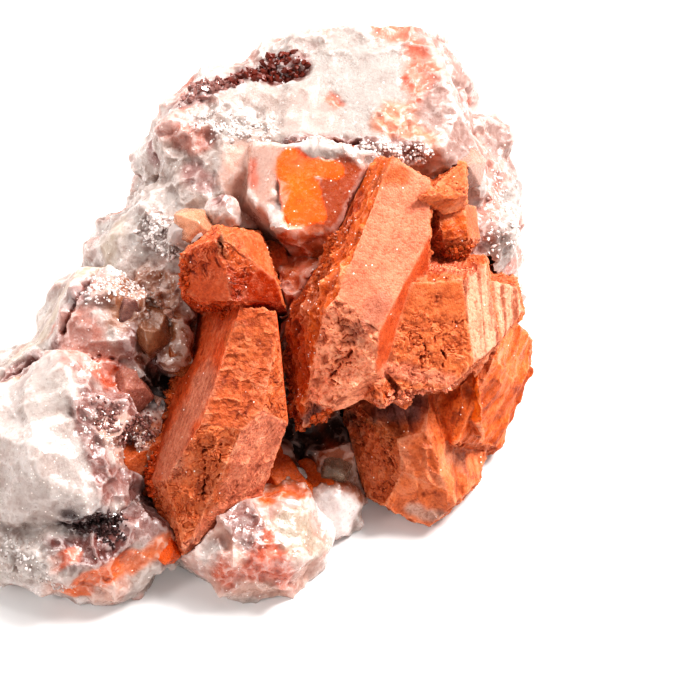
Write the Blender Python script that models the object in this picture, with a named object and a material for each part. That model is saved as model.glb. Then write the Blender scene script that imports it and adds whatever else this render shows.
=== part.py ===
"""A hand-sized piece of milky quartz with a group of hematite-red quartz crystals grown on its sloping side.

The specimen lies on a flat sawn base. X runs along its length, Y from its crystal side to its back and Z up. The
origin is the middle of its base. Lengths below are in millimetres and angles in degrees, and MM turns them into
Blender's metres.

A crystal stands on a seat, a point on its long axis, and its axis has a heading (from +X towards +Y) and a rise above
the horizontal. Each flat face of it is (turn, lean, distance): the face looks out at that turn round the axis, counted
from the crystal's upper side, leans that much towards the tip, and lies that far from the seat. A quartz prism has
faces 60 degrees apart with no lean, and its tip has faces that lean about 38 degrees.
"""

import math

import bmesh
import bpy
from mathutils import Matrix, Vector, noise

MM = 0.001
GAP = 0.3  # room left between a crystal and the socket that it stands in
REACH = 90.0  # side of the uncut block that a crystal is cut from
CENTRE = Vector((-16.71, -6.12, 0.0))  # middle of the base, in the frame that the seats are given in

# The large crystals and the ones grown together with them: heading, rise, seat, faces.
CRYSTALS = {
    "middle": (-122, -25, (-1, -16, 23), [
        (338, -2, 9.25), (46, 6, 6), (102, -7, 6.25), (163, 0, 7), (223, 0, 8), (283, -2, 8.5),
        (346, 35, 6.75), (42, 33, 5.75), (103, 36, 8.75), (226, 31, 8.5), (282, 38, 9), (257, -27, 11),
        (0, -90, 21),
    ]),
    "broad": (-80, -40, (11.5, -14.5, 21.5), [
        (1, 8, 7), (352, -58, 9.25), (320, 5, 7.25), (279, -2, 7.5), (35, 85, 8), (285, 53, 6.75),
        (92, -20, 11), (89, 34, 9.5), (174, 13, 13), (273, -83, 9.25),
    ]),
    "broad_edge": (-80, -40, (19, -9.5, 18), [
        (318, 9, 4), (279, -8, 3.75), (280, 45, 2.5), (290, -62, 5), (97, -1, 4), (153, -26, 8),
    ]),
    "lower_right": (-110, -28, (17.5, -14, 6.5), [
        (0, 18, 10.75), (288, 14, 4.75), (286, -2, 5.5), (262, -11, 5.5), (260, 4, 4), (270, 54, 6.5),
        (111, 78, 7.5), (163, 0, 8), (40, -20, 9), (280, -60, 10.25), (0, -90, 10),
    ]),
    "lower_right_point": (-110, -28, (13.5, -17, 9.5), [
        (32, 27, 2.75), (33, 63, 3), (263, -21, 3.5), (66, -36, 2.75), (122, 77, 2.5), (74, -14, 2.5),
        (167, -10, 10.25),
    ]),
    "bottom": (-75, -35, (8, -19, 0), [
        (48, 10, 11.25), (10, 15, 13), (315, 3, 10.25), (11, -19, 14.25), (26, 33, 11.75), (100, 37, 7.5),
        (102, 63, 7.75), (278, 60, 8.25), (281, 27, 9.5), (95, 50, 7.5), (98, 2, 7.25), (190, -4, 7.5),
        (0, -90, 9),
    ]),
    "top_point": (-160, -10, (12, -3.5, 34.5), [
        (4, -25, 3.5), (270, 5, 3.25), (239, -66, 2.75), (48, 11, 2.25), (231, 51, 2.25), (143, -5, 9.75),
    ]),
    "lower_left": (-102, -24, (-16.5, -27, 14), [
        (1, 4, 9.25), (56, -4, 6.25), (120, 3, 7.75), (180, 0, 7), (244, -5, 6.25), (300, 2, 10),
        (0, 36, 7.75), (61, 37, 9.75), (120, 39, 12), (239, 41, 9.25), (299, 35, 6.75), (265, -17, 8.75),
        (0, -74, 17.5),
    ]),
    "upper_left": (-150, 50, (-15.5, -8, 24.5), [
        (229, 63, 10.25), (302, 20, 10.5), (342, 6, 8.25), (69, 48, 8), (16, 15, 7.75), (137, 36, 5.75),
        (198, 18, 6.5), (224, -4, 5.25), (236, -9, 6), (339, -27, 6), (345, -26, 5.75), (32, 11, 6.25),
        (80, 37, 6.25), (114, -53, 8),
    ]),
    "window": (-97, -35, (-4.5, -1, 32), [
        (0, 0, 3.25), (20, 0, 5), (75, 0, 8.5), (302, 0, 6.75), (0, 62, 6.25), (60, 48, 6.5), (180, 0, 5),
        (0, -90, 5.75),
    ]),
}

# The small points of crystal: heading, rise, seat, radius, and length from the seat to the shoulder of the tip.
POINTS = {
    "amber_left": (-180, 50, (-19, -5.5, 29.5), 1.7, 2.5),
    "amber_middle": (40, 80, (-16.5, -4, 30.5), 1.9, 2.6),
    "brown_left": (-85, -20, (-23.5, -12, 20), 3.2, 4.5),
    "rounded_left": (-95, 40, (-29, -17, 13.5), 2.6, 4.5),
    "tiny_left": (-25, 0, (-26, -21, 13.5), 0.9, 1.6),
    "dark_left": (-145, -5, (-25.5, -26, 9.5), 2.6, 4.0),
    "orange_low": (-55, -10, (-9.5, -27, 6), 2.4, 3.2),
    "orange_low_small": (-65, -10, (-4.5, -26, 4.5), 1.6, 2.2),
    "pale_low": (-110, 35, (-2, -21.5, 3), 2.2, 3.0),
    "chip_tip": (-90, -5, (-23, -35, 3.5), 1.7, 2.2),
    "chip_left": (-95, -5, (-35.5, -37, 1), 2.2, 2.6),
    "chip_middle": (-80, -5, (-28, -36.5, 1), 2.4, 3.0),
    "tip_window": (-85, 15, (-5, -22.5, 16.5), 1.6, 1.8),
    "foot_left": (-80, 10, (3.5, -23.5, 20.5), 1.8, 1.6),
    "foot_right": (-85, -10, (6.5, -23, 19.5), 1.4, 1.8),
    "saddle": (-80, -35, (13, -7, 30), 3.4, 1.0),
}
TIP_LEAN = 42
ROOT_SHARE = 1.2  # how far a small point reaches behind its seat, as a share of its radius
TIP_REACH = 0.9  # distance of a small point's tip faces, as a share of its radius, beyond its shoulder

# The broken lumps of milky quartz that make the matrix: centre, half sizes, heading, and breaks, each a flat face
# given by its own heading, its rise and its distance from the centre.
LUMPS = {
    "core": ((-8, -7, 12), (30, 21, 14), 0, [(-90, 50, 6)]),
    "plateau": ((2, 14, 19), (22, 19, 29), 0, [(-90, 80, 18.8), (-90, 12, 14), (90, 15, 13), (16, 17, 15)]),
    "plateau_left": ((-13, 11, 18), (17, 14, 24), 20, [(-90, 74, 18)]),
    "left_ridge": ((-16, 11, 16), (13, 12, 22), -15, [(-60, 75, 18), (150, 30, 11)]),
    "top_right": ((9, 15, 17), (11, 12, 22), 15, [(16, 17, 10), (-30, 50, 15)]),
    "right": ((12, 7, 11), (11, 12, 17), -20, [(-40, 60, 14)]),
    "right_foot": ((11, -6, 5), (11, 13, 10), 0, []),
    "left_top": ((-21.5, -0.5, 15), (14, 14, 19), 30, [(-110, 60, 13), (150, 35, 12)]),
    "left_skin": ((-38, -17, 8), (12, 12, 13), 20, [(130, 40, 9)]),
    "left_shoulder": ((-31, -12, 13), (11, 11, 14), -20, []),
    "white_lobe": ((-38, -27, 10), (12, 12, 13), 10, []),
    "white_lobe_top": ((-36, -24, 14), (9, 9, 10), 40, []),
    "white_lobe_low": ((-43, -33, 5), (9, 8, 8), 0, []),
    "left_end": ((-48, -24, 7), (10, 10, 10), 30, []),
    "bottom_left": ((-33, -36, 4), (13, 8, 7), 10, []),
    "bottom_middle": ((-13, -34, 3), (12, 9, 8), -10, []),
    "pale_foot": ((-3, -29, 2), (5, 4, 4.5), 20, []),
    "left_middle": ((-27, -22, 7), (10, 9, 9), 0, []),
    "cavity_floor": ((0, -19, 3), (9, 9, 7), 0, []),
    "slope": ((-6, -9, 21), (6, 8, 6), 0, [(-90, 45, 5)]),
    "right_top": ((15, 3, 19), (7, 8, 10), 20, []),
    "back_ledge": ((-5, 23, 9), (10, 8, 10), 10, []),
    "back_foot": ((10, 21, 6), (10, 7, 9), -15, []),
    "back_left_ledge": ((-25, 9, 7), (9, 8, 10), 35, []),
    "left_foot": ((-34, -5, 4), (9, 8, 7), 15, []),
    "right_ledge": ((16.5, 1, 6), (7, 9, 8), 0, []),
    "far_right": ((14.5, 13, 16), (8, 9.5, 16), 10, [(-20, 55, 13.5)]),
    "far_right_top": ((9, 20, 23), (8, 9, 16), 0, []),
}
CHIPS = 14  # further small flat breaks round each lump
CHIP_DEPTH = 0.84  # distance of a chip's face from the lump's centre, as a share of the lump's own reach there
CHIP_SPREAD = 0.12
GOLDEN_ANGLE = 137.5
LUMP_TURN = 53.0  # each lump's round of chips starts this much further round than the last
BROAD_SWELL = 0.16
FINE_SWELL = 0.06
BASE_Z = 0.0
CRYSTAL_LIFT = 0.6  # how far the lowest crystals stay above the base

# The two bodies of crystal, each with the crystals that grew together in it.
GROUPS = {
    "crystals_right": [
        "middle", "broad", "broad_edge", "lower_right", "lower_right_point", "bottom", "top_point",
        "tip_window", "foot_left", "foot_right", "saddle",
    ],
    "crystals_left": ["lower_left", "upper_left"],
}
ON_CRYSTALS = [name for members in GROUPS.values() for name in members]
ON_MATRIX = [name for name in [*CRYSTALS, *POINTS] if name not in ON_CRYSTALS]


def direction(heading, rise):
    """The unit vector at a heading round Z and a rise above the horizontal."""
    turn, lift = math.radians(heading), math.radians(rise)
    return Vector((math.cos(lift) * math.cos(turn), math.cos(lift) * math.sin(turn), math.sin(lift)))


def cut_flat(bm, point, outward):
    """Take away what lies beyond a plane and close the cut."""
    everything = bm.verts[:] + bm.edges[:] + bm.faces[:]
    cut = bmesh.ops.bisect_plane(bm, geom=everything, plane_co=point, plane_no=outward, clear_outer=True)
    rim = [edge for edge in cut["geom_cut"] if isinstance(edge, bmesh.types.BMEdge)]
    if rim:
        bmesh.ops.holes_fill(bm, edges=rim, sides=0)


def object_from(bm, name, collection, place=None):
    """Put a finished bmesh in a collection as an object, in metres and about the middle of the base."""
    bmesh.ops.recalc_face_normals(bm, faces=bm.faces)
    bm.transform(Matrix.Scale(MM, 4) @ Matrix.Translation(-CENTRE) @ (place or Matrix.Identity(4)))
    mesh = bpy.data.meshes.new(name)
    bm.to_mesh(mesh)
    bm.free()
    made = bpy.data.objects.new(name, mesh)
    collection.objects.link(made)
    return made


def point_faces(radius, length):
    """The faces of a small six-sided point: its prism, its tip and its root."""
    sides = [(60 * step, 0, radius * (1.0 + 0.12 * math.sin(2.3 * step + length))) for step in range(6)]
    shoulder = length * math.sin(math.radians(TIP_LEAN)) + TIP_REACH * radius * math.cos(math.radians(TIP_LEAN))
    tips = [(60 * step, TIP_LEAN, shoulder * (1.0 + 0.1 * math.sin(1.7 * step + radius))) for step in range(6)]
    return sides + tips + [(0, -90, ROOT_SHARE * radius)]


def crystal(name, collection, swell=0.0):
    """One crystal, cut from a block by its flat faces. Swell moves every face outwards."""
    if name in POINTS:
        heading, rise, seat, radius, length = POINTS[name]
        faces = point_faces(radius, length)
    else:
        heading, rise, seat, faces = CRYSTALS[name]
    bm = bmesh.new()
    bmesh.ops.create_cube(bm, size=REACH)
    for turn, lean, distance in faces:
        outward = direction(turn, lean)
        cut_flat(bm, outward * (distance + swell), outward)
    upright = Matrix.Rotation(math.radians(180), 4, "Z")
    tilt = Matrix.Rotation(math.radians(90 - rise), 4, "Y")
    place = Matrix.Translation(seat) @ Matrix.Rotation(math.radians(heading), 4, "Z") @ tilt @ upright
    return object_from(bm, name, collection, place)


def scaled(vector, size):
    return Vector((vector.x * size.x, vector.y * size.y, vector.z * size.z))


def chip_planes(size, heading, index):
    """A round of small breaks spread evenly over a lump, each with its outward direction and its distance."""
    for number in range(CHIPS):
        rise = math.degrees(math.asin(1.0 - 2.0 * (number + 0.5) / CHIPS))
        outward = direction(GOLDEN_ANGLE * number + LUMP_TURN * index, rise)
        own = Matrix.Rotation(math.radians(-heading), 3, "Z") @ outward
        reach = scaled(own, size).length
        share = CHIP_DEPTH + CHIP_SPREAD * noise.noise(outward * 2.0 + Vector((0.0, 0.0, 3.0 * index)))
        yield outward, reach * share


def lump(name, collection, index):
    """One broken lump: an uneven ellipsoid with a round of small breaks and then its large ones."""
    centre, half, heading, breaks = LUMPS[name]
    size = Vector(half)
    bm = bmesh.new()
    bmesh.ops.create_icosphere(bm, subdivisions=2, radius=1.0)
    for vert in bm.verts:
        swell = 1.0 + BROAD_SWELL * noise.noise(vert.co * 1.3 + Vector((index, 2.0 * index, 0.0)))
        swell += FINE_SWELL * noise.noise(vert.co * 3.1 + Vector((0.0, index, 5.0)))
        vert.co = scaled(vert.co, size) * swell
    bm.transform(Matrix.Rotation(math.radians(heading), 4, "Z"))
    for outward, distance in chip_planes(size, heading, index):
        cut_flat(bm, outward * distance, outward)
    for azimuth, rise, distance in breaks:
        outward = direction(azimuth, rise)
        cut_flat(bm, outward * distance, outward)
    return object_from(bm, name, collection, Matrix.Translation(centre))


def slab(name, collection, top):
    """A wide block whose upper side lies at a height above the base."""
    bm = bmesh.new()
    bmesh.ops.create_cube(bm, size=2.0 * REACH)
    return object_from(bm, name, collection, Matrix.Translation((CENTRE.x, CENTRE.y, top - REACH)))


def boolean(target, operation, tool):
    """Join a piece to the target, or cut it away, by a modifier that stays on it."""
    step = target.modifiers.new(f"{operation.lower()} {tool.name}", "BOOLEAN")
    step.operation = operation
    step.solver = "EXACT"
    step.object = tool


def material(name, colour, roughness):
    made = bpy.data.materials.new(name)
    made.use_nodes = True
    shader = made.node_tree.nodes["Principled BSDF"]
    shader.inputs["Base Color"].default_value = (*colour, 1.0)
    shader.inputs["Roughness"].default_value = roughness
    return made


def helper_collection(name):
    made = bpy.data.collections.new(name)
    bpy.context.scene.collection.children.link(made)
    made.hide_render = True
    return made


def hide_helper(made):
    made.hide_render = True
    made.display_type = "WIRE"
    return made


def clear_scene():
    for old in list(bpy.data.objects):
        bpy.data.objects.remove(old, do_unlink=True)


def make_matrix(parts, tools):
    """The matrix: the lumps and small points grown into one, with a socket for each crystal and a flat base."""
    first, *others = LUMPS
    matrix = lump(first, parts, 0)
    matrix.name = "matrix"
    for index, name in enumerate(others, start=1):
        boolean(matrix, "UNION", hide_helper(lump(name, tools, index)))
    for name in ON_MATRIX:
        boolean(matrix, "UNION", hide_helper(crystal(name, tools)))
    for name in ON_CRYSTALS:
        socket = hide_helper(crystal(name, tools, swell=GAP))
        socket.name = f"{name}_socket"
        boolean(matrix, "DIFFERENCE", socket)
    boolean(matrix, "DIFFERENCE", hide_helper(slab("below_base", tools, BASE_Z)))
    matrix.data.materials.append(material("milky quartz", (0.83, 0.78, 0.77), 0.45))


def make_crystals(parts, tools):
    """The bodies of crystal, each joined from the crystals that grew together in it."""
    below = hide_helper(slab("below_crystals", tools, BASE_Z + CRYSTAL_LIFT))
    red = material("hematite quartz", (0.62, 0.17, 0.07), 0.4)
    for name, (first, *others) in GROUPS.items():
        body = crystal(first, parts)
        body.name = name
        for member in others:
            boolean(body, "UNION", hide_helper(crystal(member, tools)))
        boolean(body, "DIFFERENCE", below)
        body.data.materials.append(red)


def build():
    clear_scene()
    quartz = bpy.data.collections.new("quartz")
    bpy.context.scene.collection.children.link(quartz)
    tools = helper_collection("cutters")
    make_matrix(quartz, tools)
    make_crystals(quartz, tools)


build()
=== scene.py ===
"""The looks of a hand-sized lump of milky quartz that carries a group of hematite-red quartz crystals.

Each solid of the frame is copied, meshed finely and given its real surface: growth layers, cracks, lines
and grain on the crystals' faces, and broken, stained quartz with crusts of tiny crystals on the matrix.
Lengths and places are in millimetres, in the frame's own axes, and MM turns them into metres. Directions are
a heading, from +X towards +Y, and a rise above the horizontal, in degrees. Colours are linear red, green and
blue.
"""

import math

import bmesh
import bpy
import numpy as np
from mathutils import Matrix, Vector
from mathutils.bvhtree import BVHTree


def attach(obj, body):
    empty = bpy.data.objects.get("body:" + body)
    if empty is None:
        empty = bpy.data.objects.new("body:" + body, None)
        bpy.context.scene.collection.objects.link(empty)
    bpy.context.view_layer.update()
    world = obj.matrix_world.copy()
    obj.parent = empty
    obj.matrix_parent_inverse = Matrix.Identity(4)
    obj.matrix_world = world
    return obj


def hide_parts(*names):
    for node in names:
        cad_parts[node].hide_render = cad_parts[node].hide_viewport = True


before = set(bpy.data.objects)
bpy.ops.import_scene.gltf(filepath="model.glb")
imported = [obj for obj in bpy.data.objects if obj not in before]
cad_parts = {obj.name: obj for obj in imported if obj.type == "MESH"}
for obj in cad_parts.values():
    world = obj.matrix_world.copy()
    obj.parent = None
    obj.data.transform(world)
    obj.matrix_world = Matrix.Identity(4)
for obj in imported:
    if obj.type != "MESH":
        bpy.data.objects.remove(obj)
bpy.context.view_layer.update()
scene = bpy.context.scene

MM = 0.001
MOST_TRIANGLES = 190_000  # in one piece
LEAST_PLAIN = 0.04  # the weight of the roughest places: above 0, so that they can be thinned too
PLAIN_STEP = 0.24  # what each of the four further levels of plainness adds to the weight
ROUGH_COST = 6.0  # how much the thinning spares the rough places
SHARP_ANGLE = 28  # an edge that bends more than this is shaded sharp
SPACING = {"crystals_right": 0.17, "crystals_left": 0.16, "matrix": 0.32}  # between points of the fine meshes
SOCKET_GAP = 0.45  # a point this near to the neighbouring solid is hidden in its socket
NEAR_REACH = 2.0  # how far the neighbouring solid is looked for
MATRIX_SWELL = 0.35  # closes the gap between the matrix and the crystals that grow from it
BASE_RISE = 0.15  # a point of the matrix this low belongs to its flat base
CRUST_RISE = 1.0  # the crusts grow above this height only
CRUST_LEAN = 0.55  # how far the points of the crusts lean away from the ground's own direction
CRUST_ROOT = 0.15  # how deep they sit in the ground, as a share of their size
EDGE_WEAR = 0.09  # how far the crystals' edges are worn down
FLAT_ANGLE = 0.6  # in degrees, between polygons that are one flat face of the CAD
WELD_REACH = 0.000001  # in metres, between corners of the CAD that are one corner
LARGE_BREAKS = (6.0, 0.20, 40)  # of the matrix: size, tilt, seed

COLOURS = {
    "salmon": (0.74, 0.25, 0.145), "pink": (0.54, 0.19, 0.115), "orange": (0.54, 0.125, 0.036),
    # Painted glow: the second, near-pure orange on the next line stands in for light shining through the
    # quartz.
    "bright_orange": (0.7, 0.15, 0.022), "painted_glow_orange": (1.0, 0.155, 0.002), "brick": (0.58, 0.105, 0.024),
    "rust": (0.55, 0.135, 0.038), "dark_red": (0.62, 0.095, 0.014), "brown": (0.46, 0.125, 0.03),
    # Painted shade: the second colour on the next line is a darker copy of the red, for a face in shade.
    "shell": (0.42, 0.325, 0.285), "deep_red": (0.34, 0.036, 0.002), "peach": (0.58, 0.35, 0.28),
    "tan": (0.56, 0.2, 0.105), "umber": (0.34, 0.135, 0.065), "frost": (0.82, 0.74, 0.71),
    # Painted light: the first colour on the next line is a paler copy of the white for shaded places, and the
    # second a darker copy, painted shade where the light falls most.
    "painted_lit_white": (0.55, 0.47, 0.435), "painted_dim_white": (0.36, 0.305, 0.275), "petal": (0.34, 0.195, 0.16),
    "ember": (0.42, 0.075, 0.012), "shrimp": (1.0, 0.41, 0.245), "streaked": (0.78, 0.34, 0.22),
    # Painted glow: the second, near-pure orange on the next line stands in for light shining through the
    # quartz.
    "tangerine": (0.71, 0.195, 0.064), "flame": (1.0, 0.225, 0.004), "honey": (0.74, 0.175, 0.034),
    "white": (0.48, 0.41, 0.375), "grey": (0.42, 0.315, 0.28), "mauve": (0.3, 0.145, 0.125),
    # Painted shade: the second, near-black colour on the next line is put where pits, cavities and hollows
    # lie in shade.
    "dark_grey": (0.085, 0.042, 0.04), "dark": (0.035, 0.01, 0.005), "rose": (0.5, 0.225, 0.175),
    "blush": (0.62, 0.375, 0.3), "coral": (0.6, 0.145, 0.075), "maroon": (0.16, 0.026, 0.014),
    "beige": (0.46, 0.36, 0.28), "amber": (0.8, 0.4, 0.25), "ochre": (0.42, 0.27, 0.1),
}
# On the crystals' edges the paler colour is a painted highlight, and in cracks, gaps, pits and crevices the
# deeper one is painted shade.
PALE = (0.90, 0.52, 0.36)  # what the paler places of the red crystals turn to
DEEP = (0.44, 0.28, 0.20)  # how much of each colour is left at their deepest places
# In the seams of the matrix this loss is painted shade.
MILKY_LOSS = (0.55, 0.72, 0.75)  # the share of the matrix's colours that is lost at its deepest places

# How a crystal face is made up, layer on layer, with the numbers that each layer's function takes.
RELIEFS = {
    "satin": [("grain", 0.030), ("swells", 3.0, 0.06, 0.20)],
    "grown": [
        ("grain", 0.035), ("lines_across", 0.8, 0.05, 0.03), ("layers", 3.2, 0.08, 0.05),
        ("chips", 1.8, 0.10, 0.02, 0.7),
    ],
    "plates": [
        ("grain", 0.030), ("layers", 4.2, 0.24, 0.22), ("chips", 1.8, 0.42, 0.16, 0.9),
        ("swells", 0.9, 0.06, 1.1),
    ],
    "scaly": [
        ("grain", 0.030), ("lines_along", 0.5, 0.03, 0.2), ("layers", 2.2, 0.12, 0.04),
        ("chips", 1.4, 0.14, 0.04, 1.4),
    ],
    "chunky": [("grain", 0.040), ("layers", 2.6, 0.26, 0.04), ("chips", 1.8, 0.36, 0.16, 1.3)],
    "crackle": [
        ("grain", 0.045), ("layers", 3.4, 0.14, 0.10), ("bark", 1.1, 0.20, 0.13), ("pits", 0.7, 0.15, 0.06),
    ],
    "shards": [("chips", 1.25, 1.0, 0.22, 2.6), ("chips", 0.55, 0.45, 0.03, 2.0)],
    "lined": [("grain", 0.030), ("lines_along", 0.4, 0.03, 0.16), ("layers", 3.0, 0.05, 0.04)],
    "striped": [("grain", 0.030), ("lines_along", 0.8, 0.10, 1.1), ("layers", 3.0, 0.08, 0.04)],
    "glassy": [
        ("grain", 0.015), ("swells", 2.4, 0.20, 0.35), ("lines_along", 1.2, 0.10, 0.25),
        ("chips", 1.9, 0.26, 0.06, 1.9),
    ],
    "ridged": [("grain", 0.030), ("lines_along", 1.5, 0.18, 0.35), ("chips", 1.6, 0.36, 0.12, 1.7)],
    "rough": [("grain", 0.065), ("layers", 2.6, 0.12, 0.14), ("chips", 1.0, 0.38, 0.16, 1.3)],
}

# The crystals of each body: the heading and rise of each one's length, towards its tip, and its faces. Of a
# face: its middle, relief, colour, gloss and, on some, how much of its length, from the root, stays satin.
CRYSTALS = {
    "crystals_right": [
        ((-122, -25), [
            ((21.5, -6.1, 35.2), "satin", "salmon", 0.15),
            ((15.5, -4.0, 32.5), "shards", "bright_orange", 1.2, 0.12),
            ((15.4, -16.5, 25.4), "plates", "shrimp", 0.7),
            ((10.2, -13.9, 21.6), "shards", "bright_orange", 1.2),
            ((16.7, -18.8, 20.2), "scaly", "shrimp", 0.3),
            ((22.9, -12.4, 29.3), "satin", "brick", 0.1),
        ]),
        ((-80, -40), [
            ((27.1, -13.9, 26.1), "crackle", "tangerine", 0.25, 0.25),
            ((29.8, -5.9, 30.4), "rough", "orange", 0.5),
            ((33.4, -10.1, 26.6), "striped", "streaked", 0.2),
            ((36.9, -5.5, 22.6), "striped", "streaked", 0.2),
            ((26.6, -15.8, 17.8), "rough", "orange", 0.3),
            ((32.2, -14.1, 20.0), "rough", "orange", 0.3),
        ]),
        ((-110, -28), [
            ((35.3, -12.9, 11.2), "glassy", "bright_orange", 0.5),
            ((38.2, -7.3, 15.3), "glassy", "honey", 0.8),
            ((38.5, -6.7, 4.7), "glassy", "bright_orange", 0.5),
            ((30.3, -15.2, 13.4), "glassy", "honey", 0.5),
            # Painted glow: this face's near-pure orange stands in for light shining through the crystal.
            ((33.0, -14.8, 15.0), "glassy", "flame", 0.5),
            ((33.1, -16.7, 11.3), "glassy", "rust", 0.5),
        ]),
        ((-75, -35), [
            ((22.8, -15.9, 13.9), "ridged", "rust", 0.4),
            ((19.7, -19.0, 9.3), "rough", "rust", 0.5),
            ((25.7, -21.0, 10.5), "ridged", "rust", 0.5),
            ((30.2, -18.9, 8.0), "glassy", "tangerine", 0.5),
            ((25.6, -23.7, 5.4), "glassy", "tangerine", 0.5),
        ]),
        ((-160, -10), [
            ((29.9, -1.8, 33.9), "glassy", "honey", 0.6),
            ((28.9, -0.7, 37.1), "glassy", "tangerine", 0.6),
            ((32.4, 0.0, 32.6), "satin", "orange", 0.3),
        ]),
    ],
    "crystals_left": [
        ((-102, -24), [
            ((3.4, -19.0, 25.9), "grown", "orange", 0.2),
            ((-3.5, -16.3, 19.7), "lined", "brick", 0.25),
            ((7.9, -13.1, 22.4), "satin", "brick", 0.2),
            ((-2.4, -28.2, 16.1), "chunky", "tangerine", 0.3),
            ((3.2, -27.0, 14.6), "scaly", "salmon", 0.25),
            ((-6.8, -29.0, 9.8), "rough", "orange", 0.3),
        ]),
        ((-150, 50), [
            ((-1.3, -8.8, 32.9), "crackle", "brick", 0.45, 0.4),
            # Painted shade: this face's darker red stands for the shade it lies in.
            ((4.0, -9.3, 32.1), "crackle", "deep_red", 0.95, 0.5),
            ((4.4, -5.4, 33.4), "crackle", "orange", 0.4, 0.7),
            ((-1.3, -5.0, 35.3), "rough", "brick", 0.4),
            ((-3.9, -6.0, 23.4), "rough", "dark_red", 0.5),
            ((-0.6, -9.3, 26.8), "rough", "dark_red", 0.5),
            ((7.1, -6.8, 22.5), "rough", "dark_red", 0.4),
        ]),
    ],
}
PLAIN_FACE = ("rough", "rust", 0.3)  # of the faces that have no row above

# Deep cracks in the crystals, darkened inside with painted shade: from, to, half width, depth.
CREVICES = {
    "crystals_left": [
        ((-1.5, -26.5, 19.4), (-1.6, -29.4, 14), 0.22, 0.3),
        ((0.6, -27, 19), (0.4, -28.4, 16.2), 0.2, 0.35),
        ((0.4, -6.9, 37.4), (1, -8.4, 35.6), 0.7, 0.9),
    ],
    "crystals_right": [
        ((16.7, -16.2, 26.7), (14.4, -17.8, 22.6), 0.28, 0.6),
        ((14.4, -17.8, 22.6), (16.6, -18.6, 21.8), 0.25, 0.55),
        ((26, -14.4, 25.6), (25.8, -16.8, 22.9), 0.25, 0.4),
        ((28.6, -14.4, 25.3), (28.4, -16.2, 23.4), 0.25, 0.5),
        ((21.6, -20.2, 9.8), (23.4, -22.6, 6.4), 0.3, 0.5),
    ],
}

# Stains of the crystals, and near-black painted shade in a pit and under the group: from, to, radius, colour.
STAINS = {
    "crystals_left": [
        ((2.3, -16, 27.3), (5, -16.2, 27.6), 2.6, "rust"),
        ((-0.5, -15, 25.6), (0.6, -16.4, 25.6), 1.6, "dark_red"),
        ((-2.2, -18.7, 21.7), (-6, -24.5, 15.6), 4.2, "pink"),
        ((-1, -26.5, 18.5), (-1.5, -29.5, 13.5), 2.6, "rust"),
        ((-4, -32.6, 7.6), (0.5, -31.4, 9.6), 0.9, "pink"),
        # Painted shade: near-black in the pit at the tip.
        ((0.2, -6.9, 37.6), (0.8, -8.2, 36), 0.8, "dark"),
        ((1.6, -8.2, 36), (4, -7.4, 33.6), 1.6, "orange"),
        ((-3.4, -7.6, 25.7), (5, -9.5, 27), 1.6, "dark_red"),
    ],
    "crystals_right": [
        ((19, 1.5, 38.6), (23, 2, 39.6), 1.6, "rust"),
        ((16.7, 2, 36), (14.4, -1, 33.5), 2.4, "brick"),
        ((13, -7, 29), (11.6, -10, 26.5), 2.2, "rust"),
        ((20.5, -12.6, 31.6), (17.6, -14.8, 28.6), 1.8, "pink"),
        ((10.9, -19.6, 17), (12.4, -19.4, 18.4), 1.0, "mauve"),
        ((26.9, -5.1, 30.2), (31.9, -6.2, 30.5), 1.6, "coral"),
        ((21.1, -17, 23.7), (29.4, -17.6, 22.2), 1.2, "salmon"),
        ((24.4, -24.2, 4), (28.4, -25, 3.4), 1.1, "blush"),
        ((19.9, -16.1, 13.5), (21.8, -17.5, 13.2), 2.6, "brown"),
        ((38, -4, 18.5), (38.6, -8, 12), 2.4, "honey"),
        ((30.4, -19, 8.6), (31.4, -18.4, 7), 1.6, "tan"),
        ((20.6, -15.6, 15), (24.6, -15.4, 14.4), 2.2, "mauve"),
        # Painted shade: near-black where the group's underside lies in shadow.
        ((24, -3, 12), (19, -12, 10), 5.0, "dark"),
    ],
}

# Clouds of colour all over the matrix: colour, size, least and greatest noise that counts, most share, seed.
CLOUDS = [
    ("shell", 8.0, -0.5, 0.8, 0.9, 5),
    ("grey", 4.0, 0.1, 0.9, 0.6, 6),
    ("rose", 5.0, 0.15, 0.9, 0.7, 9),
    ("frost", 3.0, 0.2, 0.8, 0.7, 10),
    ("mauve", 2.4, 0.35, 1.0, 0.6, 13),
    ("coral", 2.6, 0.5, 1.0, 0.6, 14),
]

# Finer breaks of the matrix: size, tilt, how much each break differs in tone, seed.
BREAKS = [
    (2.6, 0.30, 0.24, 70),
    (1.2, 0.22, 0.26, 90),
    (0.6, 0.14, 0.22, 120),
]
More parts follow.
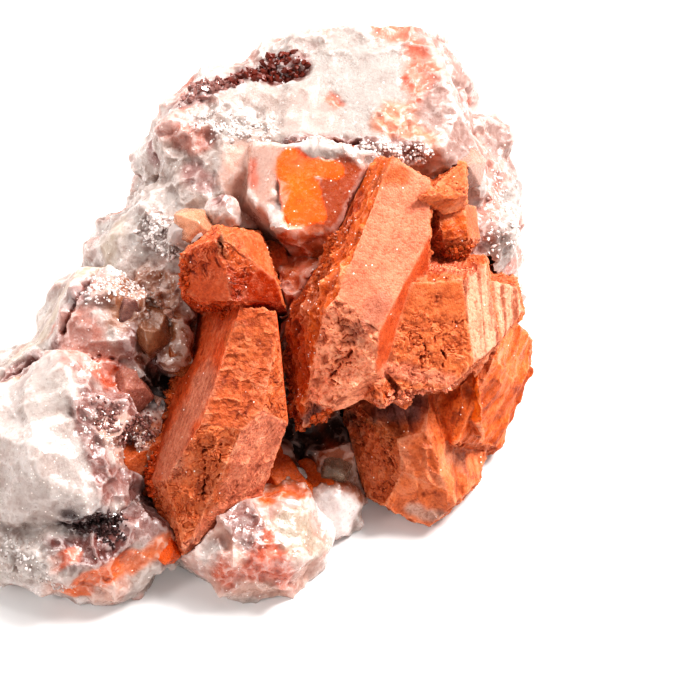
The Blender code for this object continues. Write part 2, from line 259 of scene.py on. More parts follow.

# Stains and zones of the matrix, each over the ones before it: from, to, radius, colour, roughness of the
# surface, gloss, and how sharply it ends. Some rows paint light: near-black painted shade in the cavity and
# hollows, the painted glow of the orange window, and whites made paler where shaded and darker where lit.
ZONES = [
    # the top, and the rocks on the left
    # Painted shade: the top gets the darker white to hold back the light that falls on it.
    ((10, 18, 38), (24, 18, 38), 8.0, "painted_dim_white", 0.10, 0.5, 0.3),
    ((5, 16, 37), (12, 15, 37), 3.6, "shell", 0.20, 0.5, 0.4),
    ((-1, 14, 36), (4, 13, 36), 3.0, "white", 0.90, 0.8, 0.2),
    # Painted light: these lobes get the paler white to stand in for light on their shaded side.
    ((-25, -23, 19), (-20, -28, 16), 8.0, "painted_lit_white", 0.30, 0.85, 0.3),
    ((-24, -32, 13), (-20, -33, 11), 4.0, "painted_lit_white", 0.40, 0.5, 0.2),
    ((-22, -19, 22), (-17, -20, 21), 3.0, "white", 0.30, 0.5, 0.2),
    ((-5, 4, 29), (-14, 3, 26), 5.0, "white", 0.55, 0.6, 0.2),
    ((-9, 14, 31), (-4, 10, 34), 4.0, "shell", 0.70, 0.6, 0.2),
    ((-25, -8, 17), (-14, 4, 25), 2.6, "beige", 0.30, 0.3, 0.3),
    ((-27, -13, 17), (-25, -13, 18), 1.4, "ochre", 0.60, 0.3, 0.2),
    ((-5, 18, 36), (-1, 20, 36), 2.0, "mauve", 1.0, 0.8, 0.3),
    ((-2, 20, 36), (2, 21, 37), 1.8, "maroon", 1.0, 0.8, 0.5),
    ((3, 22, 36), (9, 22, 38), 2.4, "maroon", 1.0, 0.8, 0.5),
    ((-6, 14, 35), (-3, 12, 35), 2.0, "rose", 1.0, 0.7, 0.3),
    ((-3, 8, 33), (0, 3, 34), 1.8, "mauve", 0.7, 0.5, 0.2),
    # the right of the top, its front edge, and the right side
    ((14, 17, 38), (15, 16, 37), 1.1, "coral", 0.4, 0.4, 0.2),
    ((21, 28, 39), (24, 27, 39), 1.8, "coral", 0.5, 0.4, 0.3),
    ((26, 24, 39), (26, 17, 38), 2.2, "coral", 0.7, 0.4, 0.4),
    ((28, 16, 37), (30, 21, 34), 3.4, "coral", 0.6, 0.4, 0.2),
    ((23, 13, 37), (28, 12, 36), 2.8, "tan", 0.7, 0.4, 0.2),
    ((28, 27, 37), (31, 24, 35), 3.4, "petal", 0.3, 0.4, 0.2),
    ((30, 15, 37), (37, 21, 25), 4.4, "petal", 0.6, 0.5, 0.2),
    ((30, 11, 35), (33, 12, 34), 2.4, "petal", 0.3, 0.5, 0.6),
    ((33, 16, 29), (34, 15, 27), 2.4, "rose", 0.8, 0.5, 0.2),
    # Painted shade: the right side gets the darker white to hold back the light that falls on it.
    ((37, 15, 22), (37, 5, 21), 3.6, "painted_dim_white", 0.7, 0.5, 0.2),
    ((37, 17, 24), (34, 7, 26), 1.4, "rose", 0.8, 0.5, 0.3),
    ((39, 10, 15), (38, 0, 20), 1.6, "rose", 0.7, 0.5, 0.2),
    ((5, 8, 37), (10, 10, 36), 1.4, "mauve", 1.0, 0.8, 0.3),
    ((10, 10, 36), (25, 9, 36), 1.5, "mauve", 1.0, 0.8, 0.3),
    ((12, 9.5, 36.5), (17, 9.5, 36.5), 0.7, "coral", 0.8, 0.8, 0.5),
    # the seams between the rocks on the left
    ((-5, 1, 28), (-8, 3, 28), 2.4, "grey", 1.0, 0.9, 0.2),
    ((-27, -12.8, 17), (-21, -11, 22), 1.6, "mauve", 0.8, 0.4, 0.4),
    ((-21, -11, 22), (-18, -6, 25), 1.3, "dark_grey", 0.8, 0.4, 0.2),
    ((-18, -6, 25), (-15.5, 0, 25), 1.0, "mauve", 0.8, 0.4, 0.3),
    ((-5, 18, 35), (-13, 8, 27), 1.5, "mauve", 0.8, 0.5, 0.2),
    ((-13, 8, 27), (-25, -6, 17), 1.3, "grey", 0.6, 0.4, 0.2),
    ((-18, -10, 23), (-16.5, -13, 21), 3.4, "rose", 0.5, 0.6, 0.3),
    ((-14.5, -14.7, 20), (-12, -16, 18), 2.2, "coral", 0.8, 0.7, 0.3),
    # the hollow beside the left crystals
    ((-11.6, -6, 25), (-10.7, -10.5, 22.6), 2.8, "umber", 0.7, 0.9, 0.3),
    ((-11, -11, 22), (-9, -11, 18), 2.0, "mauve", 0.8, 0.8, 0.3),
    ((-8.6, -4, 24), (-7, -11, 20), 3.4, "umber", 1.0, 0.9, 0.5),
    # Painted shade: near-black in the cavity.
    ((-9, -13.4, 16), (-7, -14, 12), 3.4, "dark", 0.8, 0.3, 0.7),
    ((-13, -14, 19), (-11, -15, 17), 1.2, "brick", 0.8, 0.5, 0.3),
    ((-15.5, -20.5, 20.6), (-10.7, -19.5, 14.6), 3.0, "mauve", 1.0, 1.0, 0.3),
    ((-13.6, -23, 18.8), (-11, -22, 13), 2.2, "blush", 1.0, 1.0, 0.3),
    ((-16.9, -22.6, 20), (-14.6, -27.6, 16), 1.3, "mauve", 0.8, 0.7, 0.4),
    ((-13.8, -28, 14), (-11.3, -25, 10.5), 2.2, "mauve", 0.8, 0.7, 0.4),
    # the lower left edge
    ((-9, -18, 12), (-7, -24, 8), 3.0, "brown", 0.7, 0.6, 0.4),
    ((-13, -27, 13), (-10, -26, 10), 2.4, "mauve", 0.7, 0.6, 0.3),
    ((-17, -31, 11.6), (-13.4, -31.6, 9.4), 2.9, "dark_grey", 1.0, 0.9, 0.5),
    ((-12, -31, 9), (-8, -29, 8), 2.4, "mauve", 0.8, 0.7, 0.3),
    ((-21, -35, 9), (-13, -34, 9), 1.8, "maroon", 0.9, 0.6, 0.4),
    ((-21, -36, 8), (-18, -35, 9), 0.9, "brick", 0.8, 0.5, 0.5),
    ((-26, -33, 9), (-23, -36, 7), 2.8, "white", 1.0, 0.6, 0.3),
    ((-20, -37, 4), (-14, -37, 4), 2.4, "blush", 0.8, 0.5, 0.2),
    ((-17, -37, 6), (-11, -34, 7), 1.4, "bright_orange", 1.0, 0.6, 0.5),
    ((-11, -34, 6), (-7, -32, 7), 1.3, "tangerine", 0.7, 0.5, 0.5),
    ((-19, -37, 3), (-17.4, -37, 3.6), 1.4, "bright_orange", 0.3, 0.5, 0.7),
    # the rounded lump at the bottom
    ((3, -33, 7), (9, -33, 6), 6.0, "blush", 0.7, 0.45, 0.3),
    ((2.8, -30.3, 10), (4.5, -32.6, 9.2), 2.2, "mauve", 1.0, 0.9, 0.3),
    # Painted light: the paler white again, on a shaded place.
    ((-1, -33.5, 7.5), (0.5, -34, 6.5), 1.6, "painted_lit_white", 0.8, 0.7, 0.3),
    ((1, -35, 6), (3.4, -35.8, 4.4), 2.0, "brick", 0.9, 0.7, 0.3),
    ((6, -34.8, 6.8), (8.4, -35.4, 4.4), 2.6, "coral", 0.9, 0.7, 0.3),
    ((6.2, -32, 9.2), (6.8, -34.2, 8), 0.7, "brick", 0.7, 0.6, 0.3),
    ((3.4, -36, 3), (8, -36.4, 2.4), 1.6, "blush", 0.9, 0.6, 0.3),
    ((9.6, -30.4, 8.4), (11, -32.4, 6.6), 2.8, "beige", 0.35, 0.7, 0.5),
    ((10.6, -34.2, 5.6), (10.4, -34.6, 3.6), 1.6, "peach", 0.6, 0.6, 0.3),
    ((13, -24, 5), (16, -26, 4), 3.0, "frost", 0.3, 0.6, 0.5),
    # the hollows between the two groups of crystals and round them
    ((8, -24, 8), (14, -20, 7), 2.8, "brown", 0.7, 0.5, 0.4),
    # Painted shade: near-black in the hollow between the groups.
    ((9.4, -21, 7.4), (11, -21.6, 7), 2.0, "dark", 0.7, 0.5, 0.4),
    ((6, -27, 9), (9, -26, 8), 1.6, "bright_orange", 0.6, 0.5, 0.4),
    ((8, -12, 10), (15.5, -18, 6.5), 5.0, "brown", 0.9, 0.5, 0.7),
    # Painted shade: near-black in the hollow under the right group.
    ((15, -15, 9.5), (18, -16, 9), 2.2, "dark", 0.6, 0.3, 0.6),
    ((17, -16, 5), (18, -20, 4), 2.6, "umber", 0.6, 0.5, 0.4),
    # Painted shade: near-black in the hollow between the groups.
    ((7.5, -12, 10), (11, -17, 7.8), 2.8, "dark", 0.8, 0.3, 0.5),
    ((-6, -10, 21), (-3, -8.6, 20.5), 2.8, "umber", 1.0, 0.9, 0.3),
    ((-8.4, -10.6, 20), (-7.7, -11.3, 18), 1.3, "mauve", 0.8, 0.8, 0.3),
    ((9, 0, 26), (11, -6, 24), 3.4, "rust", 0.9, 0.5, 0.3),
    ((8, -8, 20), (9, -14, 14), 3.6, "brown", 0.9, 0.5, 0.3),
    ((7, 0.8, 24.3), (10.3, -1.6, 26.7), 3.0, "rust", 0.6, 0.5, 0.5),
    ((8, -3, 22.5), (9.5, -8, 20), 3.0, "rust", 0.7, 0.5, 0.4),
    ((9.5, -0.5, 28.5), (14.5, -1, 30), 2.4, "rust", 0.5, 0.5, 0.5),
    # the pale faces, and the orange window with its glow painted into its colour, between the tips of the two
    # groups
    ((3.6, 8.4, 34.6), (3.8, 4.8, 29.5), 3.6, "peach", 0.15, 0.5, 0.4),
    ((6, 8.2, 37), (6.6, 1.8, 30.5), 2.0, "peach", 0.05, 0.5, 0.7),
    ((4.6, 7.4, 35.6), (5, 4, 32.6), 0.8, "coral", 0.15, 0.5, 0.2),
    ((6.2, 2.2, 27.6), (9, -0.2, 28.4), 1.1, "blush", 0.4, 0.6, 0.4),
    ((16.2, 4.2, 35.6), (14.6, 1.9, 33.9), 3.2, "ember", 0.05, 0.6, 0.8),
    # Painted glow: these near-pure orange rows stand in for light shining through the window.
    ((9.6, 6, 36.2), (10.6, 0.8, 33), 2.5, "painted_glow_orange", 0.0, 0.85, 0.95),
    ((11.6, 4.2, 35), (12.4, 0.9, 33.1), 1.3, "painted_glow_orange", 0.0, 0.85, 0.95),
    ((9.4, 4.6, 35.4), (9.9, 1.4, 33.2), 1.3, "flame", 0.0, 0.85, 0.6),
    ((12.2, 5.8, 36.5), (14.9, 5.4, 36.4), 1.15, "painted_glow_orange", 0.0, 0.85, 0.95),
    ((8.8, -0.4, 30.2), (13, -1, 30.4), 1.5, "rust", 0.5, 0.5, 0.6),
    ((9.2, -0.6, 31.2), (12.5, -0.6, 31.7), 0.9, "rust", 0.3, 0.5, 0.7),
]

# Seams cut into the matrix, darkened inside with painted shade: from, to, half width, depth.
SEAMS = [
    ((-27, -12.5, 17), (-21, -10.5, 22), 0.8, 1.1),
    ((-21, -10.5, 22), (-18, -6, 25), 0.8, 1.2),
    ((-18, -6, 25), (-15.5, 0, 24), 0.8, 1.2),
    ((-9, 12, 27), (-3, 11, 34), 0.5, 0.6),
    ((10, 10.3, 36.5), (18, 10.3, 36.5), 0.4, 0.7),
    ((-19, -13, 22), (-13, -13, 21), 0.4, 0.6),
]

# Small crystals on the matrix: heading, rise, seat, radius, length to the shoulder, colour, and its material.
POINTS = [
    (-180, 50, (-2.3, 0.6, 29.5), 2.2, 2.9, "amber", "clear"),
    (-100, 10, (-8.4, -8.6, 21.6), 1.7, 2.6, "umber", "clear"),
    (-70, -25, (-5.8, -9.6, 19.8), 1.6, 2.4, "brown", "clear"),
    (-125, 5, (-9.8, -8.4, 19.4), 1.5, 2.4, "umber", "clear"),
    (-110, 25, (-11.2, -5.6, 22.4), 1.5, 2.4, "mauve", "clear"),
    (-95, 40, (-12.3, -10.9, 13.5), 3.1, 4.9, "rose", "red"),
    (-25, 0, (-9.3, -14.9, 13.5), 1.4, 2.0, "blush", "clear"),
    (-145, -5, (-8.8, -19.9, 9.5), 3.1, 4.4, "rust", "red"),
    (-55, -10, (7.2, -20.9, 6), 2.9, 3.6, "bright_orange", "red"),
    (-65, -10, (12.2, -19.9, 4.5), 2.1, 2.6, "bright_orange", "red"),
    (-110, 35, (14.7, -15.4, 3), 2.7, 3.4, "brown", "clear"),
    (-60, 30, (14.2, -18.4, 5.8), 1.7, 1.9, "beige", "clear"),
    # Painted glow: this point's near-pure orange stands in for light shining through it.
    (-95, 5, (-6.8, -30.0, 5.4), 1.6, 2.2, "painted_glow_orange", "clear"),
    (-70, 55, (31.6, 10.6, 31.0), 2.0, 2.3, "blush", "clear"),
    (-115, 60, (7.0, 0.4, 24.2), 1.9, 2.2, "rust", "red"),
    (-90, 55, (8.4, -3.0, 21.4), 1.7, 2.0, "brown", "red"),
    (-100, 10, (8.6, -10.0, 20.2), 0.7, 0.5, "blush", "clear"),
    (-120, 20, (8.8, -14.4, 15.2), 0.8, 0.6, "white", "clear"),
    (-110, 60, (-6.6, -7.2, 22.4), 0.9, 0.8, "blush", "clear"),
]
BLOCK = 60.0  # what the small crystals are cut from
TIP_LEAN = 42  # of the faces of their tips
TIP_REACH = 0.9  # how far from the tip's axis those faces pass, as a share of the radius
POINT_SWELL = 0.5  # brings those with a radius over LARGE_POINT out of the swollen matrix
LARGE_POINT = 1.2
POINT_SPACING = 0.16  # between the points of their meshes, at most
POINT_GLOSS = 0.8
UNEVEN = 0.16  # how much the faces of a small crystal differ in distance, as a share

# Crusts of small quartz points: from, to, radius, how many, least and greatest size, colour.
WHITE_CRUSTS = [
    # These white points among the mauve ones are real small crystals, and stand partly for painted glints.
    ((-15, -23, 19), (-11, -21, 14), 2.6, 130, 0.15, 0.45, "frost"),
    ((-15, -21, 19), (-10, -19, 14), 2.6, 420, 0.2, 0.6, "mauve"),
    ((-6, 0.5, 28), (-8.5, 3, 28), 2.4, 300, 0.2, 0.6, "frost"),
    ((-15.3, -5.3, 25.5), (-12, -4, 26), 2.5, 200, 0.2, 0.5, "frost"),
    ((-4, 19, 36.5), (2, 21, 37), 2.0, 160, 0.3, 0.9, "mauve"),
    ((2, 21.5, 36.5), (9, 22.5, 38), 2.2, 200, 0.3, 1.0, "maroon"),
    ((-2, 14, 36), (6, 12.5, 36.5), 2.2, 220, 0.2, 0.5, "frost"),
    ((11, 9, 37), (26, 9, 36), 1.4, 300, 0.2, 0.6, "frost"),
    ((-17, -31, 11.6), (-13.4, -31.6, 9.4), 2.5, 220, 0.25, 0.7, "dark_grey"),
    ((-26, -34, 8), (-20, -36.5, 6), 2.2, 80, 0.2, 0.5, "frost"),
    ((35, 14, 24), (36, 6, 24), 3.0, 150, 0.2, 0.5, "frost"),
    ((-8.5, -6, 24.5), (-7, -9, 22.5), 1.2, 70, 0.2, 0.5, "shell"),
]
RED_CRUSTS = {
    "crystals_left": [
        ((-5.9, -12.5, 15.6), (-8.2, -20.5, 12.4), 0.9, 150, 0.35, 0.95, "rust"),
        ((-8.2, -20.5, 12.4), (-8.6, -27.5, 10.5), 0.9, 150, 0.35, 0.9, "brick"),
        ((-8.2, -27.5, 10), (-6.4, -31.5, 5.6), 0.9, 110, 0.3, 0.8, "orange"),
        ((-4.6, -6.8, 32.4), (-4.4, -8.6, 28.6), 1.1, 110, 0.35, 0.9, "brick"),
        ((-4, -8, 26.4), (4, -11, 27), 1.0, 140, 0.3, 0.8, "dark_red"),
    ],
    "crystals_right": [
        ((9.4, -11, 20), (9.6, -17, 15.6), 1.0, 130, 0.3, 0.8, "brick"),
        ((10.6, -19.4, 15), (13.6, -19.6, 17.6), 1.2, 90, 0.35, 0.9, "orange"),
        ((20.4, -19.4, 20.6), (30, -17.4, 20.4), 0.8, 170, 0.3, 0.7, "salmon"),
        ((12, -7, 29), (15, -1.5, 33), 2.0, 220, 0.2, 0.45, "rust"),
        ((26.5, -5.4, 30.4), (31.5, -6.2, 30.6), 1.1, 90, 0.15, 0.35, "shrimp"),
        ((31.4, -3, 30.6), (28.2, -3.4, 31), 1.0, 70, 0.3, 0.8, "orange"),
    ],
}


# Noise

def hashed(cells, seed):
    """A number from 0 to 1 for each whole-number cell, always the same for the same cell and seed."""
    mixed = np.full(cells.shape[:-1], (seed + 1) * 2654435761 % 2**32, np.uint32)
    for axis in range(cells.shape[-1]):
        mixed = (mixed ^ cells[..., axis].astype(np.uint32)) * np.uint32(0x9E3779B1)
        mixed ^= mixed >> np.uint32(15)
        mixed = mixed * np.uint32(0x85EBCA77)
        mixed ^= mixed >> np.uint32(13)
    return mixed.astype(np.float32) / np.float32(2**32)


def noise(points, seed=0):
    """Smooth noise from -1 to 1, with about one bump a unit, on points of two or three coordinates."""
    base = np.floor(points).astype(np.int32)
    part = (points - base).astype(np.float32)
    part = part * part * (3.0 - 2.0 * part)
    total = np.zeros(len(points), np.float32)
    for corner in np.ndindex(*(2,) * points.shape[1]):
        weight = np.prod(np.where(corner, part, 1.0 - part), axis=1)
        total += weight * hashed(base + np.array(corner, np.int32), seed)
    return 2.0 * total - 1.0


def fractal(points, octaves, seed=0):
    """Noise with finer noise on it, each octave half as high and about twice as fine."""
    total = np.zeros(len(points), np.float32)
    for octave in range(octaves):
        total += 0.5**octave * noise(points * 2.03**octave + 17.3 * octave, seed + octave)
    return total


def spots_near(points, seed):
    """For each cell round each point: the cell, and the way to the point from the spot scattered in it."""
    base = np.floor(points).astype(np.int32)
    axes = range(points.shape[1])
    for step in np.ndindex(*(3,) * len(axes)):
        cell = base + np.array(step, np.int32) - 1
        spot = cell + np.stack([0.1 + 0.8 * hashed(cell, seed + 11 * axis) for axis in axes], 1)
        yield cell, (points - spot).astype(np.float32)


def nearest_spots(points, seed):
    """The distance from each point to the nearest scattered spot, about one a unit, and the spot's cell."""
    nearest = np.full(len(points), 9.0, np.float32)
    which = np.floor(points).astype(np.int32)
    for cell, way in spots_near(points, seed):
        distance = np.sqrt((way * way).sum(1))
        closer = distance < nearest
        nearest = np.where(closer, distance, nearest)
        which[closer] = cell[closer]
    return nearest, which


def broken(points, tilt, seed):
    """Flat breaks about one unit across, each tilted its own way, that meet in ridges: the height, how far
    inside its break each point lies, and its cell."""
    lowest = np.full(len(points), 9.0, np.float32)
    following = lowest.copy()
    which = np.floor(points).astype(np.int32)
    for cell, way in spots_near(points, seed):
        leans = [hashed(cell, seed + 11 * axis + 5) - 0.5 for axis in range(points.shape[1])]
        beyond = np.maximum(np.sqrt((way * way).sum(1)) - 0.4, 0.0)
        height = 2.0 * tilt * (way * np.stack(leans, 1)).sum(1) + (0.5 + 3.0 * tilt) * beyond * beyond
        lower = height < lowest
        following = np.where(lower, lowest, np.minimum(following, height))
        lowest = np.where(lower, height, lowest)
        which[lower] = cell[lower]
    return lowest, following - lowest, which


def eased(values, low, high):
    """From 0 at low to 1 at high, with a soft start and end."""
    share = np.clip((values - low) / (high - low), 0.0, 1.0)
    return share * share * (3.0 - 2.0 * share)


def direction(heading, rise):
    turn, lift = math.radians(heading), math.radians(rise)
    return np.array((math.cos(lift) * math.cos(turn), math.cos(lift) * math.sin(turn), math.sin(lift)))


# Meshes

def made_object(name, mesh):
    """An object in the scene that holds a mesh, a light or a camera."""
    piece = bpy.data.objects.new(name, mesh)
    scene.collection.objects.link(piece)
    return piece


def with_modifier(piece, kind, **settings):
    """Apply one modifier to the piece's mesh."""
    step = piece.modifiers.new(kind, kind)
    for setting, value in settings.items():
        setattr(step, setting, value)
    graph = bpy.context.evaluated_depsgraph_get()
    changed = bpy.data.meshes.new_from_object(piece.evaluated_get(graph), depsgraph=graph)
    piece.modifiers.clear()
    old, piece.data = piece.data, changed
    bpy.data.meshes.remove(old)


def welded(node):
    """The CAD node as a bmesh with each flat face in one polygon."""
    bm = bmesh.new()
    bm.from_mesh(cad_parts[node].data)
    bmesh.ops.remove_doubles(bm, verts=bm.verts, dist=WELD_REACH)
    bmesh.ops.dissolve_limit(bm, angle_limit=math.radians(FLAT_ANGLE), verts=bm.verts, edges=bm.edges)
    bm.normal_update()
    return bm


def meshed(piece, spacing):
    """Give the piece a fine even mesh with its points this far apart."""
    with_modifier(piece, "REMESH", mode="VOXEL", voxel_size=spacing * MM, adaptivity=0.0)


def fine_copy(node, name, spacing):
    """A finely meshed copy of a CAD node."""
    piece = made_object(name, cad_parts[node].data.copy())
    piece.data.materials.clear()
    meshed(piece, spacing)
    return piece


def read(collection, field, width, kind=np.float32):
    found = np.empty(len(collection) * width, kind)
    collection.foreach_get(field, found)
    return found.reshape(-1, width)


def places(mesh):
    """The mesh's points, in millimetres."""
    return read(mesh.vertices, "co", 3) / MM


def place(mesh, points):
    mesh.vertices.foreach_set("co", (points * MM).astype(np.float32).ravel())
    mesh.update()


def normals(mesh):
    return read(mesh.vertex_normals, "vector", 3)


def edge_ends(mesh):
    return read(mesh.edges, "vertices", 2, np.int32)


def smoothed(ends, values, rounds):
    """Each value replaced by the mean of its own and its neighbours', so many times."""
    count = 1.0 + np.bincount(ends.ravel(), minlength=len(values))
    values = values.astype(np.float64).reshape(len(values), -1)
    for _ in range(rounds):
        total = values.copy()
        for column in range(values.shape[1]):
            total[:, column] += np.bincount(ends[:, 0], values[ends[:, 1], column], len(values))
            total[:, column] += np.bincount(ends[:, 1], values[ends[:, 0], column], len(values))
        values = total / count[:, None]
    return values.squeeze()


def hollowness(points, outward, ends):
    """How far each point lies below its neighbours, in millimetres: over 0 in a crack, under 0 on an edge."""
    return ((smoothed(ends, points, 2) - points) * outward).sum(1)


def write_looks(mesh, tint, gloss, hollow):
    """Write what the materials read at each point."""
    colours = np.ones((len(tint), 4), np.float32)
    colours[:, :3] = tint
    mesh.attributes.new("tint", "FLOAT_COLOR", "POINT").data.foreach_set("color", colours.ravel())
    for name, values in (("gloss", gloss), ("hollow", hollow)):
        mesh.attributes.new(name, "FLOAT", "POINT").data.foreach_set("value", values.astype(np.float32))


def thinned(piece, plainness):
    """Bring the piece under the most triangles, mostly where plainness, from 0 to 1, is high."""
    triangles = sum(len(face.vertices) - 2 for face in piece.data.polygons)
    if triangles <= MOST_TRIANGLES:
        return
    group = piece.vertex_groups.new(name="plain")
    for level in range(5):
        members = np.nonzero(np.round(plainness * 4) == level)[0]
        group.add(members.tolist(), LEAST_PLAIN + PLAIN_STEP * level, "REPLACE")
    with_modifier(
        piece, "DECIMATE", ratio=MOST_TRIANGLES / triangles, use_collapse_triangulate=True,
        vertex_group="plain", vertex_group_factor=ROUGH_COST,
    )
    piece.vertex_groups.clear()


def dress(piece, points, ends, tint, gloss, plainness, look):
    """Move the piece's points into place, write what its material reads, thin it, and give it its look."""
    mesh = piece.data
    place(mesh, points)
    write_looks(mesh, tint, gloss, hollowness(points, normals(mesh), ends))
    thinned(piece, plainness)
    finish(piece, look)


def near(points, node):
    """The distance from each point to a CAD node, as far as NEAR_REACH."""
    bm = welded(node)
    tree = BVHTree.FromBMesh(bm)
    bm.free()
    found = np.full(len(points), NEAR_REACH, np.float32)
    for index, point in enumerate(points):
        hit = tree.find_nearest(Vector(point * MM), NEAR_REACH * MM)
        if hit[3] is not None:
            found[index] = hit[3] / MM
    return found


# Layers of a crystal's face. Each takes places across and along the crystal, a seed and its own numbers. It
# gives the height there, in millimetres, and the tone, over 0 where paler and under 0 where deeper. The
# deeper tone in cracks, gaps and pits is painted shade.

def warp(points, seed):
    """A wavering shift of each point, up to about one unit along each axis."""
    return np.stack([noise(points + 9.1 * axis, seed + axis) for axis in range(points.shape[1])], 1)


def terraced(values, slope):
    """Values brought to whole levels with short rises between: the levels, and how near each is to a rise."""
    level = np.floor(values)
    part = values - level
    border = np.clip(1.0 - np.abs(part - (1.0 - 0.5 * slope)) / slope, 0.0, 1.0)
    return level + eased(part, 1.0 - slope, 1.0), border


def grain(flat, seed, height):
    rise = height * (0.8 * fractal(flat / 0.38, 2, seed) + 0.8 * noise(flat / 3.0, seed + 5))
    return rise, 0.25 * noise(flat / 0.6, seed + 6)


def swells(flat, seed, size, height, shade):
    """Smooth shallow swells."""
    return height * fractal(flat / size, 2, seed), shade * fractal(flat / (0.8 * size) + 4.0, 3, seed + 2)


def layers(flat, seed, size, step, crack):
    """Growth layers like shingles: each slopes to a curved step, here and there with a crack along it."""
    field = 3.0 * fractal(flat / size + 0.12 * warp(flat / 0.7, seed + 3), 3, seed)
    level, border = terraced(field, 0.16)
    open_here = eased(noise(flat / 1.7, seed + 9), 0.0, 0.4)
    tone = 0.5 * (hashed(np.floor(level + 0.5).astype(np.int32)[:, None], seed) - 0.5)
    # Painted shade: the tone deepens along the open cracks.
    return step * (level - 0.6 * field) - crack * border * open_here, tone - 0.6 * border * open_here


def chips(flat, seed, size, tilt, crack, stretch):
    """Small broken plates, each tilted its own way, drawn out along the crystal by the stretch."""
    bent = flat / size * (1.0, 1.0 / stretch)
    bent = bent + 0.3 * warp(1.4 * bent, seed) + 0.08 * warp(6.0 * bent, seed + 2)
    height, inside, which = broken(bent, tilt, seed + 4)
    open_here = eased(noise(flat / (0.9, 1.8), seed + 6) + 0.3 * noise(flat / 0.5, seed + 7), 0.05, 0.45)
    gap = (1.0 - eased(inside, 0.0, 0.07)) * open_here
    # Painted shade: the tone deepens in the open gaps between the plates.
    return size * height - crack * gap, 0.7 * (hashed(which, seed + 8) - 0.5) - 0.7 * gap


def bark(flat, seed, size, height, crack):
    """Rounded grains drawn out along the crystal, with deep gaps here and there."""
    bent = flat / size * (1.0, 0.62)
    bent = bent + 0.4 * warp(1.2 * bent, seed) + 0.12 * warp(4.0 * bent, seed + 2)
    rise, inside, which = broken(bent, 0.3, seed + 4)
    open_here = eased(noise(flat / (0.8, 1.7), seed + 6) + 0.4 * noise(flat / 0.5, seed + 7), 0.0, 0.45)
    gap = (1.0 - eased(inside, 0.0, 0.10)) * open_here
    rise = height * (1.6 * rise + 0.6 * fractal(flat / 0.7, 3, seed + 9))
    # Painted shade: the tone deepens in the open gaps between the grains.
    return rise - crack * gap, 0.5 * (hashed(which, seed + 8) - 0.5) - 0.8 * gap


def pits(flat, seed, size, share, depth):
    """Scattered pits of uneven size, in this share of the places where one could be."""
    nearest, which = nearest_spots(flat / size + 0.3 * warp(flat / size * 2.0, seed), seed)
    radius = 0.45 * np.clip((hashed(which, seed + 1) - 1.0 + share) / share, 0.0, 1.0) + 0.001
    inside = 1.0 - eased(nearest / radius, 0.5, 1.0)
    # Painted shade: the tone deepens inside each pit.
    return -depth * inside, -0.8 * inside


def lines_across(flat, seed, spacing, step, crack):
    """Growth lines across the crystal, each a low step, some of them open for a short way."""
    field = flat[:, 1] / spacing + 0.8 * fractal(flat / (3.0, 1.6), 3, seed)
    level, border = terraced(field, 0.3)
    row = np.floor(level + 0.5)
    open_here = eased(noise(np.stack([flat[:, 0] / 0.9, 7.7 * row], 1), seed + 3), 0.6, 0.85)
    own = hashed(row.astype(np.int32)[:, None], seed) - 0.5
    # Painted shade: the tone deepens where the lines are open.
    return step * (level - field) - crack * border * open_here, 0.25 * own - 0.5 * border * open_here


def lines_along(flat, seed, spacing, height, shade):
    """Ridges and stripes along the crystal."""
    bent = flat / (spacing, 12.0)
    lines = fractal(bent + 0.06 * warp(flat / 1.5, seed + 4), 3, seed)
    return height * np.tanh(4.0 * lines), shade * np.tanh(3.0 * fractal(bent + 5.5, 3, seed + 8))


LAYERS = {
    layer.__name__: layer for layer in (grain, swells, layers, chips, bark, pits, lines_across, lines_along)
}


def relief(flat, kind, seed):
    """The height and tone of a crystal's face at each place across and along it."""
    height = np.zeros(len(flat), np.float32)
    tone = height.copy()
    for order, (name, *numbers) in enumerate(RELIEFS[kind]):
        rise, shade = LAYERS[name](flat, seed + 23 * order, *numbers)
        height += rise
        tone += shade
    return height, tone


# Crystals

def flat_faces(node):
    """The flat faces of a CAD node: a search tree over them, and each one's middle and outward direction."""
    bm = welded(node)
    tree = BVHTree.FromBMesh(bm)
    middles = np.array([face.calc_center_median_weighted() for face in bm.faces]) / MM
    outward = np.array([face.normal for face in bm.faces])
    bm.free()
    return tree, middles, outward


def shaded(tint, tone):
    """The colours made paler where tone is over 0, and deeper where it is under 0."""
    pale = 0.55 * tint + 0.45 * np.array(PALE)
    light = 0.8 * np.clip(tone, 0.0, 1.0)[:, None]
    dark = np.clip(-tone, 0.0, 1.0)[:, None]
    return (tint + light * (pale - tint)) * (1.0 - dark * (1.0 - np.array(DEEP)))


def stain(tint, share, colour):
    """Bring the colours this share of the way to another one."""
    tint += share[:, None] * (np.array(COLOURS[colour]) - tint)


def to_line(points, start, end):
    """The distance from each point to a straight line between two places."""
    start, way = np.array(start, float), np.array(end, float) - np.array(start, float)
    share = np.clip((points - start) @ way / max(way @ way, 1e-9), 0.0, 1.0)
    return np.linalg.norm(points - start - share[:, None] * way, axis=1)


def carve(points, lines, seed):
    """How deep cracks along these lines cut each point, and how far inside one it lies, from 0 to 1."""
    bent = points + 0.35 * warp(points / 1.1, seed) + 0.15 * warp(points / 0.4, seed + 3)
    depth = np.zeros(len(points))
    inside = depth.copy()
    for start, end, half_width, deep in lines:
        amount = 1.0 - eased(to_line(bent, start, end) / half_width, 0.25, 1.0)
        depth = np.maximum(depth, deep * amount)
        inside = np.maximum(inside, amount)
    return depth, inside


